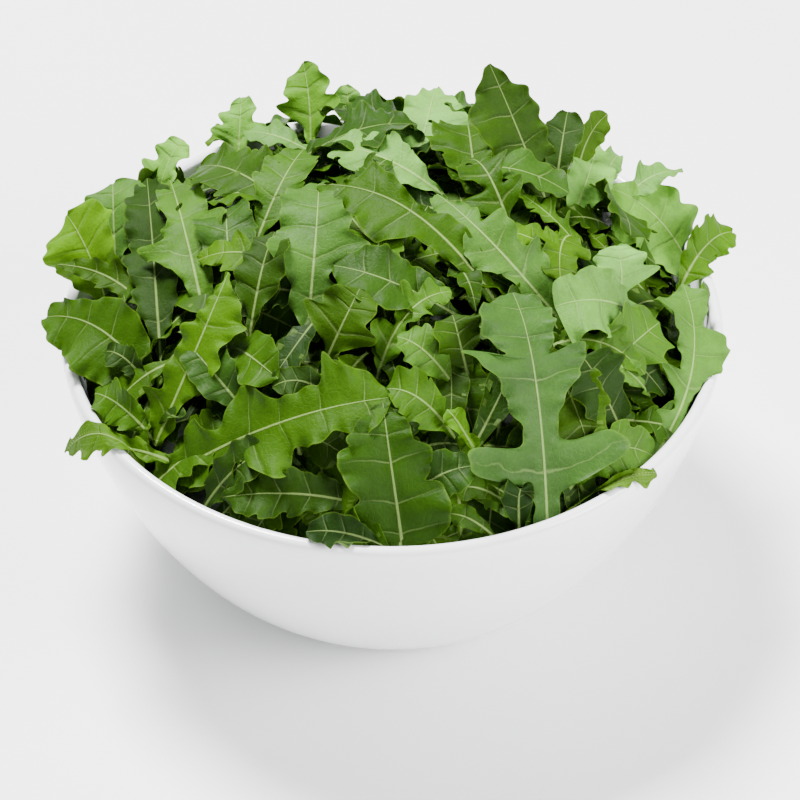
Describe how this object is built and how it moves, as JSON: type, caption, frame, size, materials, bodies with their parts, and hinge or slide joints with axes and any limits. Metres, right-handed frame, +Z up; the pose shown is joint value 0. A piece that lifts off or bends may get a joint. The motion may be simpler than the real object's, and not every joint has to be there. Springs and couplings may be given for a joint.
{
  "type": "bowl of rocket leaves",
  "caption": "White glazed round bowl heaped high with loose rocket leaves, some standing up at the back and some hanging over the rim.",
  "frame": {"origin": "middle of the bowl's flat underside", "axes": "+Z up out of the bowl, -Y towards the bowl's front, +X to the right"},
  "size_m": [0.2519, 0.24, 0.1731],
  "materials": {
    "glaze": "smooth white glazed porcelain",
    "rocket_leaf": "fresh rocket leaf, satin, with paler ribs and veins"
  },
  "bodies": {
    "root": {"bowl": "glaze", "leaf_heap": "rocket_leaf"}
  },
  "joints": []
}
